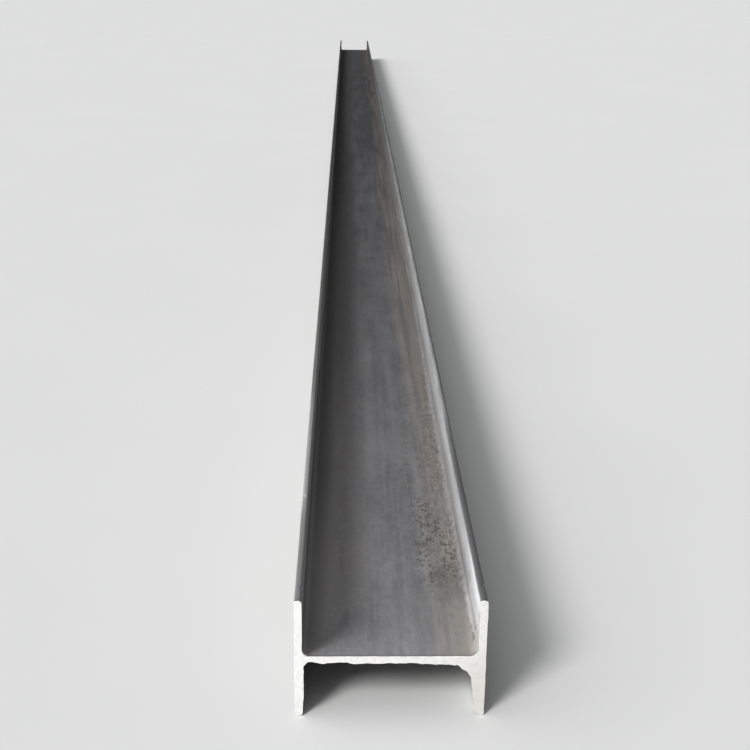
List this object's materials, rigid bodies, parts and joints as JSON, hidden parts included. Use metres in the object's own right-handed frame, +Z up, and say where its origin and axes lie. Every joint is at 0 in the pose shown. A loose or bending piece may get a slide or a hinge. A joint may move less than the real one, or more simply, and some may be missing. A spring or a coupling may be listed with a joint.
{
  "type": "steel h-beam",
  "caption": "Hot-rolled wide-flange steel H-beam: a straight mill length with parallel flanges, root fillets and square-sawn bare ends.",
  "frame": {"origin": "on the ground under the middle of the beam, half way along and half way across", "axes": "+Y along the beam, +X across the section from flange to flange, +Z up; the beam lies on its flange toes with the web level"},
  "size_m": [0.294, 12, 0.2],
  "materials": {
    "mill_steel": "dull mill scale with light rust streaks",
    "sawn_steel": "bare saw-cut metal"
  },
  "bodies": {
    "root": {"h_beam": "mill_steel"}
  },
  "joints": []
}
